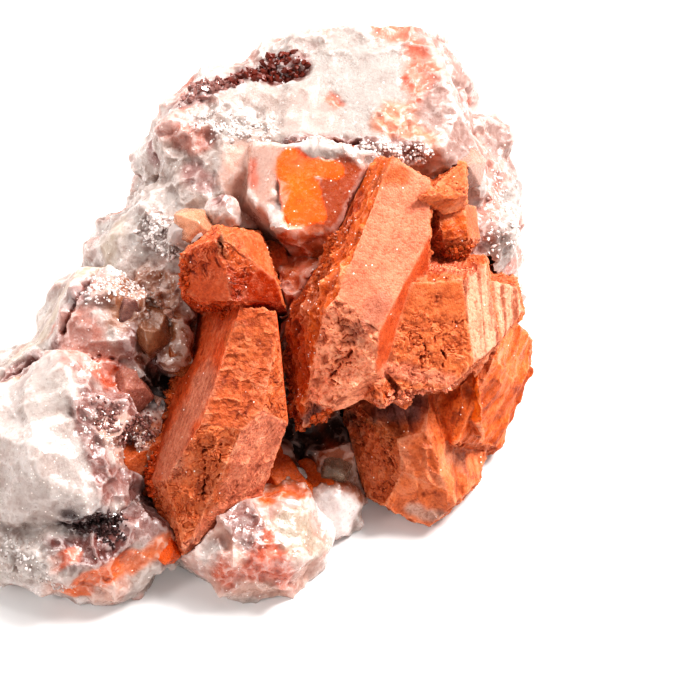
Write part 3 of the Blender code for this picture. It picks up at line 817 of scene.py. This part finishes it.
def face_reliefs(node, points, face_of, middles, outward):
    """The height, tone, colour and gloss of each point, by the face that it lies on."""
    rows = [(CRYSTALS[node][0][0], PLAIN_FACE)] * len(middles)
    for length, faces in CRYSTALS[node]:
        for middle, *looks in faces:
            nearest = np.linalg.norm(middles - np.array(middle), axis=1).argmin()
            rows[nearest] = (length, looks)
    height = np.zeros(len(points), np.float32)
    tone = height.copy()
    tint = np.zeros((len(points), 3), np.float32)
    shine = height.copy()
    for index, (length, (kind, colour, gloss, *satin)) in enumerate(rows):
        own = np.nonzero(face_of == index)[0]
        if not len(own):
            continue
        across = np.cross(outward[index], direction(*length))
        across /= np.linalg.norm(across)
        along = np.cross(across, outward[index])
        flat = np.stack([points[own] @ across, points[own] @ along], 1)
        height[own], tone[own] = relief(flat, kind, 100 * index)
        if satin:
            reach = (flat[:, 1] - flat[:, 1].min()) / np.ptp(flat[:, 1])
            reach = reach + 0.12 * fractal(flat / 2.0, 2, 100 * index + 50)
            rough = eased(reach, satin[0] - 0.12, satin[0] + 0.12)
            plain_height, plain_tone = relief(flat, "satin", 100 * index)
            height[own] = plain_height + rough * (height[own] - plain_height)
            tone[own] = plain_tone + rough * (tone[own] - plain_tone)
        tint[own] = COLOURS[colour]
        shine[own] = gloss
    return height, tone, tint, shine


def crystal_piece(node, neighbour):
    """One body of crystals, with its own relief, colour and gloss on each face."""
    piece = fine_copy(node, f"{node}_quartz", SPACING[node])
    points = places(piece.data)
    tree, middles, outward = flat_faces(node)
    face_of = np.array([tree.find_nearest(Vector(point * MM))[2] for point in points])
    height, tone, tint, shine = face_reliefs(node, points, face_of, middles, outward)
    for start, end, radius, colour in STAINS[node]:
        far = to_line(points, start, end) / radius + 0.3 * fractal(points / 1.3, 3, 31)
        stain(tint, 1.0 - eased(far, 0.5, 1.2), colour)
    ends = edge_ends(piece.data)
    hidden = near(points, neighbour) < SOCKET_GAP
    edge = np.zeros(len(points))
    edge[ends[face_of[ends[:, 0]] != face_of[ends[:, 1]]].ravel()] = 1.0
    edge = np.clip(smoothed(ends, edge, 3) * 1.6, 0.0, 1.0)
    depth, inside = carve(points, CREVICES[node], 300)
    even = smoothed(ends, height, 2)
    worn = EDGE_WEAR * edge * (1.0 + fractal(points / 1.1, 3, 71))
    height = height + 0.6 * edge * (even - height) - worn - depth
    # Painted highlight: the tone pales along the edges. Painted shade: it deepens inside the crevices.
    tone = tone + 0.5 * edge - 0.7 * inside
    height[hidden] = 0.0
    way = smoothed(ends, outward[face_of], 2)
    way /= np.linalg.norm(way, axis=1)[:, None]
    tint = shaded(smoothed(ends, tint, 2), tone)
    plainness = np.where(hidden, 1.0, np.where(np.abs(height - even) < 0.01, 0.25, 0.0))
    dress(piece, points + way * height[:, None], ends, tint, smoothed(ends, shine, 2), plainness, node)
    return piece


# Matrix

def facets(points, size, tilt, seed):
    """Flat breaks about size across, each tilted its own way: the height, and a number for each, -1 to 1."""
    bent = points / size
    bent = bent + 0.22 * warp(1.3 * bent, seed) + 0.04 * warp(5.0 * bent, seed + 3)
    height, _, which = broken(bent, tilt, seed)
    return size * height, 2.0 * hashed(which, seed + 50) - 1.0


def milky(tint, tone):
    """The colours whiter where tone is over 0, and deeper and redder where it is under 0."""
    light = np.clip(tone, 0.0, 1.0)[:, None]
    dark = np.clip(-tone, 0.0, 1.0)[:, None]
    return (tint + 0.6 * light * (np.array(COLOURS["frost"]) - tint)) * (1.0 - dark * np.array(MILKY_LOSS))


def matrix_colours(points):
    """The colour, roughness and gloss of the matrix at each point."""
    tint = np.empty((len(points), 3))
    tint[:] = COLOURS["white"]
    for colour, size, low, high, most, seed in CLOUDS:
        cloud = fractal((points + 1.2 * warp(points / 3.0, seed)) / size, 5, seed)
        stain(tint, most * eased(cloud, low, high), colour)
    coarse = 0.6 + 0.4 * noise(points / 6.0, 3)
    shine = 0.5 + 0.2 * noise(points / 4.0, 4)
    wobble = fractal(points / 2.2, 4, 12)
    for start, end, radius, colour, rough, gloss, sharp in ZONES:
        far = to_line(points, start, end) / radius + 0.38 * (1.0 - 0.7 * sharp) * wobble
        soft = 0.45 * (1.0 - sharp) + 0.05
        amount = 1.0 - eased(far, 1.0 - soft, 1.0 + soft)
        stain(tint, amount, colour)
        coarse += amount * (rough - coarse)
        shine += amount * (gloss - shine)
    return tint, coarse, shine


def matrix_piece():
    """The matrix, broken, stained and swollen to its crystals, with its base left flat."""
    piece = fine_copy("matrix", "matrix_quartz", SPACING["matrix"])
    mesh = piece.data
    points = places(mesh)
    ends = edge_ends(mesh)
    socket = np.minimum(near(points, "crystals_right"), near(points, "crystals_left")) < SOCKET_GAP
    base = points[:, 2] < BASE_RISE
    fixed = socket | base
    points = np.where(fixed[:, None], points, smoothed(ends, points, 2))
    place(mesh, points)
    outward = smoothed(ends, normals(mesh), 3)
    outward /= np.linalg.norm(outward, axis=1)[:, None]
    tint, coarse, shine = matrix_colours(points)
    height = facets(points, *LARGE_BREAKS)[0] + 0.3 * fractal(points / 3.5, 2, 15)
    height = np.clip(1.4 * coarse, 0.0, 1.0) * height
    tone = 0.25 * fractal(points / (2.5, 1.2, 1.2), 4, 18) * (0.4 + coarse)
    for size, tilt, share, seed in BREAKS:
        rise, own = facets(points, size, tilt, seed)
        height += coarse * rise
        tone += coarse * share * own
        shine += 0.25 * own
    depth, inside = carve(points, SEAMS, 400)
    height = np.where(fixed, 0.0, height - depth) + np.where(base, 0.0, MATRIX_SWELL)
    points = points + outward * height[:, None]
    points[:, 2] = np.maximum(points[:, 2], 0.0)
    # Painted shade: the colour deepens inside the seams.
    dress(piece, points, ends, milky(tint, tone - 0.7 * inside), shine, np.where(fixed, 1.0, 0.0), "matrix")
    return piece


# Small crystals

def cut_crystal(faces, turned):
    """One crystal's mesh, cut from a block by its flat faces, (outward, distance), then turned into place."""
    bm = bmesh.new()
    bmesh.ops.create_cube(bm, size=BLOCK)
    for outward, distance in faces:
        everything = bm.verts[:] + bm.edges[:] + bm.faces[:]
        cut = bmesh.ops.bisect_plane(
            bm, geom=everything, plane_co=outward * distance, plane_no=outward, clear_outer=True
        )
        rim = [edge for edge in cut["geom_cut"] if isinstance(edge, bmesh.types.BMEdge)]
        if rim:
            bmesh.ops.holes_fill(bm, edges=rim, sides=0)
    bmesh.ops.recalc_face_normals(bm, faces=bm.faces)
    bm.transform(Matrix.Scale(MM, 4) @ turned)
    mesh = bpy.data.meshes.new("crystal")
    bm.to_mesh(mesh)
    bm.free()
    return mesh


def seat_matrix(seat, heading, rise):
    """What turns a crystal that stands along +Z to its heading and rise, on its seat."""
    tilt = Matrix.Rotation(math.radians(90 - rise), 4, "Y")
    turn = Matrix.Rotation(math.radians(heading), 4, "Z")
    return Matrix.Translation(seat) @ turn @ tilt @ Matrix.Rotation(math.radians(180), 4, "Z")


def point_faces(radius, length, chance, swell):
    """A small uneven six-sided point: its prism, its tip and its root."""
    def uneven():
        return 1.0 + UNEVEN * (2.0 * chance.random() - 1.0)
    tilt = math.radians(TIP_LEAN)
    shoulder = length * math.sin(tilt) + TIP_REACH * radius * math.cos(tilt)
    faces = [(60 * step, 0, radius * uneven() + swell) for step in range(6)]
    faces += [(60 * step, TIP_LEAN, shoulder * uneven() + swell) for step in range(6)]
    faces += [(0, -90, 1.2 * radius)]
    return [(Vector(direction(turn, lean)), distance) for turn, lean, distance in faces]


def small_points():
    """The single small crystals that stand on the matrix."""
    chance = np.random.default_rng(3)
    for index, (heading, rise, seat, radius, length, colour, material) in enumerate(POINTS):
        swell = POINT_SWELL if radius > LARGE_POINT else 0.0
        mesh = cut_crystal(point_faces(radius, length, chance, swell), seat_matrix(seat, heading, rise))
        piece = made_object(f"point_{index}_quartz", mesh)
        meshed(piece, min(POINT_SPACING, 0.1 * radius))
        mesh = piece.data
        points = places(mesh)
        height = 0.03 * fractal(points / 0.5, 3, 60 + index)
        height = height + 0.06 * radius * noise(points / radius, 80 + index)
        points = points + normals(mesh) * height[:, None]
        points[:, 2] = np.maximum(points[:, 2], 0.0)
        tint = np.empty((len(points), 3))
        tint[:] = COLOURS[colour]
        tint = shaded(tint, 0.5 * fractal(points / (0.7 * radius), 3, 5 + index))
        gloss = np.full(len(points), POINT_GLOSS)
        dress(piece, points, edge_ends(mesh), tint, gloss, np.zeros(len(points)), f"{material}_point")


def quartz_point():
    """Corners and faces of one small quartz point, a unit across, standing on its root along +Z."""
    turns = [math.radians(60 * step) for step in range(6)]
    ring = [(0.5 * math.cos(turn), 0.5 * math.sin(turn)) for turn in turns]
    corners = [(x, y, -0.6) for x, y in ring] + [(x, y, 0.4) for x, y in ring] + [(0.0, 0.0, 0.85)]
    sides = [(step, (step + 1) % 6, 6 + (step + 1) % 6, 6 + step) for step in range(6)]
    tips = [(6 + step, 6 + (step + 1) % 6, 12) for step in range(6)]
    return np.array(corners), sides + tips + [tuple(range(5, -1, -1))]


def crust_piece(name, ground, zones, look):
    """Small quartz points grown close together over parts of a piece, joined in one mesh."""
    chance = np.random.default_rng(7)
    on = places(ground.data)
    facing = normals(ground.data)
    corners, shape = quartz_point()
    points, polygons, tints = [], [], []
    for start, end, radius, count, least, greatest, colour in zones:
        reach = radius * (0.6 + 0.5 * chance.random(len(on)))
        inside = np.nonzero((to_line(on, start, end) < reach) & (on[:, 2] > CRUST_RISE))[0]
        if not len(inside):
            continue
        for seat in chance.choice(inside, count):
            size = least + (greatest - least) * chance.random() ** 2
            up = Vector(facing[seat] + CRUST_LEAN * chance.normal(size=3)).normalized()
            turn = Matrix.Rotation(2.0 * math.pi * chance.random(), 3, "Z")
            pose = np.array(up.to_track_quat("Z", "Y").to_matrix() @ turn)
            own = corners * (size, size * (0.7 + 0.5 * chance.random()), size * (0.7 + 0.9 * chance.random()))
            own[6:12, 2] += size * 0.2 * chance.normal(size=6)
            own[12, :2] += size * 0.12 * chance.normal(size=2)
            first = len(points) * len(corners)
            points.append(own @ pose.T + on[seat] - CRUST_ROOT * size * facing[seat])
            polygons += [tuple(first + corner for corner in face) for face in shape]
            shade = 0.75 + 0.4 * chance.random()
            own_colour = np.clip(np.array(COLOURS[colour]) * shade, 0.0, 1.0)
            tints.append(np.tile(own_colour, (len(corners), 1)))
    mesh = bpy.data.meshes.new(name)
    mesh.from_pydata((np.concatenate(points) * MM).tolist(), [], polygons)
    write_looks(mesh, np.concatenate(tints), np.ones(len(mesh.vertices)), np.zeros(len(mesh.vertices)))
    finish(made_object(name, mesh), look)


# Materials

class Graph:
    """The nodes of one material, and short ways to add the kinds that the quartz needs."""

    def __init__(self, name):
        self.material = bpy.data.materials.new(name)
        self.material.use_nodes = True
        self.nodes = self.material.node_tree.nodes
        self.shader = self.nodes["Principled BSDF"]

    def feed(self, socket, value):
        """Link a socket to another, or set it to a number or a colour."""
        if isinstance(value, bpy.types.NodeSocket):
            self.material.node_tree.links.new(value, socket)
        else:
            socket.default_value = (*value, 1.0) if isinstance(value, tuple) else value

    def attribute(self, name, output):
        node = self.nodes.new("ShaderNodeAttribute")
        node.attribute_name = name
        return node.outputs[output]

    def number(self, kind, *values, clamp=False):
        node = self.nodes.new("ShaderNodeMath")
        node.operation = kind
        node.use_clamp = clamp
        for socket, value in zip(node.inputs, values):
            self.feed(socket, value)
        return node.outputs[0]

    def noise(self, spot, size, roughness):
        """Noise whose bumps are about size millimetres across."""
        node = self.nodes.new("ShaderNodeTexNoise")
        scale = 1.0 / (size * MM)
        for name, value in (("Scale", scale), ("Detail", 5.0), ("Roughness", roughness), ("Vector", spot)):
            self.feed(node.inputs[name], value)
        return node.outputs["Fac"]

    def grains(self, spot, size):
        """Grains about size across: a chance number for each, and the distance from its middle."""
        node = self.nodes.new("ShaderNodeTexVoronoi")
        self.feed(node.inputs["Scale"], 1.0 / (size * MM))
        self.feed(node.inputs["Vector"], spot)
        split = self.nodes.new("ShaderNodeSeparateColor")
        self.feed(split.inputs[0], node.outputs["Color"])
        return split.outputs[0], node.outputs["Distance"]

    def ranged(self, value, low, high, out_low=0.0, out_high=1.0):
        """The value's place from low to high, with soft ends, as a number from out_low to out_high."""
        node = self.nodes.new("ShaderNodeMapRange")
        node.interpolation_type = "SMOOTHSTEP"
        for socket, given in zip(node.inputs, (value, low, high, out_low, out_high)):
            self.feed(socket, given)
        return node.outputs["Result"]

    def mixed(self, share, first, second, blend="MIX"):
        """Two colours mixed by a share."""
        node = self.nodes.new("ShaderNodeMix")
        node.data_type = "RGBA"
        node.blend_type = blend
        for index, value in ((0, share), (6, first), (7, second)):
            self.feed(node.inputs[index], value)
        return node.outputs[2]


def quartz_material(name, deep, pale, mottle, speckle, share_of_painted_glints, scatter, depth, specular, bump, clear=0.0):
    """Quartz with colour, gloss and hollows from the mesh, broken up by mottling, grains and painted glints.
    """
    graph = Graph(name)
    spot = graph.nodes.new("ShaderNodeTexCoord").outputs["Object"]
    colour = graph.attribute("tint", "Color")
    hollow = graph.attribute("hollow", "Fac")
    gloss = graph.attribute("gloss", "Fac")
    broad = graph.noise(spot, 3.0, 0.65)
    fine = graph.noise(spot, 0.5, 0.7)
    chance, middle = graph.grains(spot, GRAIN)
    colour = graph.mixed(graph.ranged(broad, 0.50, 0.72, 0.0, mottle), colour, deep, "MULTIPLY")
    colour = graph.mixed(graph.ranged(fine, 0.50, 0.28, 0.0, mottle), colour, deep, "MULTIPLY")
    colour = graph.mixed(graph.ranged(fine, 0.52, 0.75, 0.0, 0.6 * mottle), colour, pale)
    colour = graph.mixed(graph.ranged(chance, 0.0, 0.6, speckle, 0.0), colour, deep, "MULTIPLY")
    # Painted shade: the colour deepens in the mesh's hollows. Painted highlight: it pales on its edges.
    colour = graph.mixed(graph.ranged(hollow, 0.01, 0.13, 0.0, 0.7), colour, deep, "MULTIPLY")
    colour = graph.mixed(graph.ranged(hollow, -0.015, -0.06, 0.0, 0.22), colour, pale)
    # Painted glints: a few grains, many more where the gloss is over 1, take a near-white colour that stands
    # in for glints of light.
    dull = graph.ranged(gloss, 1.0, 1.2, 1.0 - share_of_painted_glints, 1.0 - WET_PAINTED_GLINTS * share_of_painted_glints)
    painted_glint_grain = graph.number("GREATER_THAN", chance, dull)
    painted_glint_grain = graph.number("MULTIPLY", painted_glint_grain, graph.ranged(middle, 0.55, 0.25))
    colour = graph.mixed(painted_glint_grain, colour, PAINTED_GLINT_COLOUR)
    rough = graph.number("MULTIPLY_ADD", gloss, -GLOSS_REACH, MATT_ROUGHNESS)
    rough = graph.number("MULTIPLY_ADD", graph.ranged(fine, 0.3, 0.7, -1.0, 1.0), 0.12, rough)
    rough = graph.number("MAXIMUM", rough, 0.05, clamp=True)
    bumps = graph.nodes.new("ShaderNodeBump")
    bumps.inputs["Strength"].default_value = bump
    bumps.inputs["Distance"].default_value = BUMP_DEPTH * MM
    graph.feed(bumps.inputs["Height"], graph.number("MULTIPLY_ADD", middle, -0.45, fine))
    for socket, value in (
        ("Base Color", colour), ("Roughness", rough), ("IOR", QUARTZ_IOR),
        ("Normal", bumps.outputs["Normal"]),
        ("Specular IOR Level", specular), ("Transmission Weight", clear), ("Subsurface Weight", scatter),
        ("Subsurface Scale", MM),
    ):
        graph.feed(graph.shader.inputs[socket], value)
    graph.shader.inputs["Subsurface Radius"].default_value = depth
    return graph.material


GRAIN = 0.26  # across the grains of the surface
BUMP_DEPTH = 0.13
QUARTZ_IOR = 1.544
MATT_ROUGHNESS = 0.62  # where the gloss is 0
GLOSS_REACH = 0.46  # how much less that is where the gloss is 1
# The painted glints: how many more grains take them where the gloss is over 1, and their near-white colour.
WET_PAINTED_GLINTS = 12  # how many more grains sparkle where the gloss is over 1
PAINTED_GLINT_COLOUR = (1.0, 0.9, 0.85)
# In both pairs the deep colour also paints shade into hollows and cracks, and the pale one paints highlights
# on edges.
RED = ((0.55, 0.27, 0.12), (0.88, 0.42, 0.24))  # what deep places keep, and what pale ones turn to
MILKY = ((0.62, 0.45, 0.40), (0.85, 0.78, 0.75))
RED_DEPTH = (1.6, 0.5, 0.2)  # how far red, green and blue light go under the surface
MILKY_DEPTH = (2.0, 1.5, 1.3)
MATERIALS = {
    "red": quartz_material(
        "hematite_quartz", *RED, mottle=0.30, speckle=0.40, share_of_painted_glints=0.003,
        scatter=0.10, depth=RED_DEPTH, specular=0.28, bump=0.9,
    ),
    "clear": quartz_material(
        "clear_quartz", *RED, mottle=0.30, speckle=0.2, share_of_painted_glints=0.0,
        scatter=0.0, depth=RED_DEPTH, specular=0.5, bump=0.2, clear=0.35,
    ),
    "matrix": quartz_material(
        "milky_quartz", *MILKY, mottle=0.40, speckle=0.15, share_of_painted_glints=0.012,
        scatter=0.40, depth=MILKY_DEPTH, specular=0.8, bump=0.40,
    ),
    "crust": quartz_material(
        "crust_quartz", *MILKY, mottle=0.2, speckle=0.1, share_of_painted_glints=0.0,
        scatter=0.0, depth=MILKY_DEPTH, specular=0.6, bump=0.1,
    ),
}
# The look of each kind of piece: its material, its slot, and the CAD nodes that it replaces.
LOOKS = {
    "crystals_right": ("red", "red_quartz", ["crystals_right"]),
    "crystals_left": ("red", "red_quartz", ["crystals_left"]),
    "matrix": ("matrix", "milky_quartz", ["matrix"]),
    "red_point": ("red", "red_quartz", []),
    "clear_point": ("clear", "red_quartz", []),
    "white_crust": ("crust", "milky_quartz", []),
    "red_crust": ("red", "red_quartz", []),
}


def finish(piece, look):
    """Give a piece its material, shade all but the crusts smooth, seat it on the root body, and hide the CAD
    nodes that it replaces.
    """
    material, slot, replaced = LOOKS[look]
    piece.data.materials.clear()
    piece.data.materials.append(MATERIALS[material])
    if not look.endswith("crust"):
        piece.data.shade_smooth()
        piece.data.set_sharp_from_angle(angle=math.radians(SHARP_ANGLE))
    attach(piece, "root")
    if replaced:
        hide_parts(*replaced)


# Studio

EYE = (16.71, -315.27, 383.02)
ELEVATION = 50.0
LENS = 190.3
SENSOR = 36.0
NEAREST = 0.01  # what is nearer to the camera than this, in metres, is left out
FLOOR_SIZE = 4.0  # in metres
FLOOR_COLOUR = (0.80, 0.785, 0.78)
FLOOR_GLOW = 0.08
WORLD_COLOUR = (1.0, 0.97, 0.95)
WORLD_LIGHT = 0.36
LIT_PLACE = (0.01, 0.0, 0.02)  # what the lights stand round, in metres
LIGHTS = {  # heading, rise, distance and size in metres, watts
    "key": (24, 50, 0.55, 0.20, 4.0),
    "back": (110, 40, 0.55, 0.25, 0.8),
    "top": (70, 72, 0.60, 0.30, 0.7),
    "left": (-150, 35, 0.60, 0.12, 0.65),
    "low": (158, 14, 0.60, 0.06, 0.4),
    "high": (150, 35, 0.60, 0.06, 0.4),
}


def make_floor():
    graph = Graph("floor_white")
    for socket, value in (
        ("Base Color", FLOOR_COLOUR), ("Roughness", 0.7), ("Specular IOR Level", 0.2),
        ("Emission Color", (1.0, 1.0, 1.0)), ("Emission Strength", FLOOR_GLOW),
    ):
        graph.feed(graph.shader.inputs[socket], value)
    half = FLOOR_SIZE / 2
    corners = [(-half, -half, 0), (half, -half, 0), (half, half, 0), (-half, half, 0)]
    mesh = bpy.data.meshes.new("floor")
    mesh.from_pydata(corners, [], [(0, 1, 2, 3)])
    mesh.materials.append(graph.material)
    made_object("floor", mesh)


def make_lights():
    world = bpy.data.worlds.new("studio")
    scene.world = world
    world.use_nodes = True
    sky = world.node_tree.nodes["Background"].inputs
    sky["Color"].default_value = (*WORLD_COLOUR, 1.0)
    sky["Strength"].default_value = WORLD_LIGHT
    for name, (heading, rise, distance, size, watts) in LIGHTS.items():
        light = bpy.data.lights.new(name, "AREA")
        light.shape = "SQUARE"
        light.size = size
        light.energy = watts
        lamp = made_object(name, light)
        away = Vector(direction(heading, rise))
        lamp.location = away * distance + Vector(LIT_PLACE)
        lamp.rotation_euler = away.to_track_quat("Z", "Y").to_euler()


def make_camera():
    data = bpy.data.cameras.new("camera")
    data.lens = LENS
    data.sensor_width = SENSOR
    data.clip_start = NEAREST
    camera = made_object("camera", data)
    camera.location = Vector(EYE) * MM
    camera.rotation_euler = (math.radians(90.0 - ELEVATION), 0.0, 0.0)
    scene.camera = camera
    scene.view_settings.view_transform = "Standard"
    scene.view_settings.look = "High Contrast"


make_floor()
make_lights()
make_camera()
for body in ("crystals_right", "crystals_left"):
    crust_piece(f"{body}_crust", crystal_piece(body, "matrix"), RED_CRUSTS[body], "red_crust")
crust_piece("matrix_crust", matrix_piece(), WHITE_CRUSTS, "white_crust")
small_points()
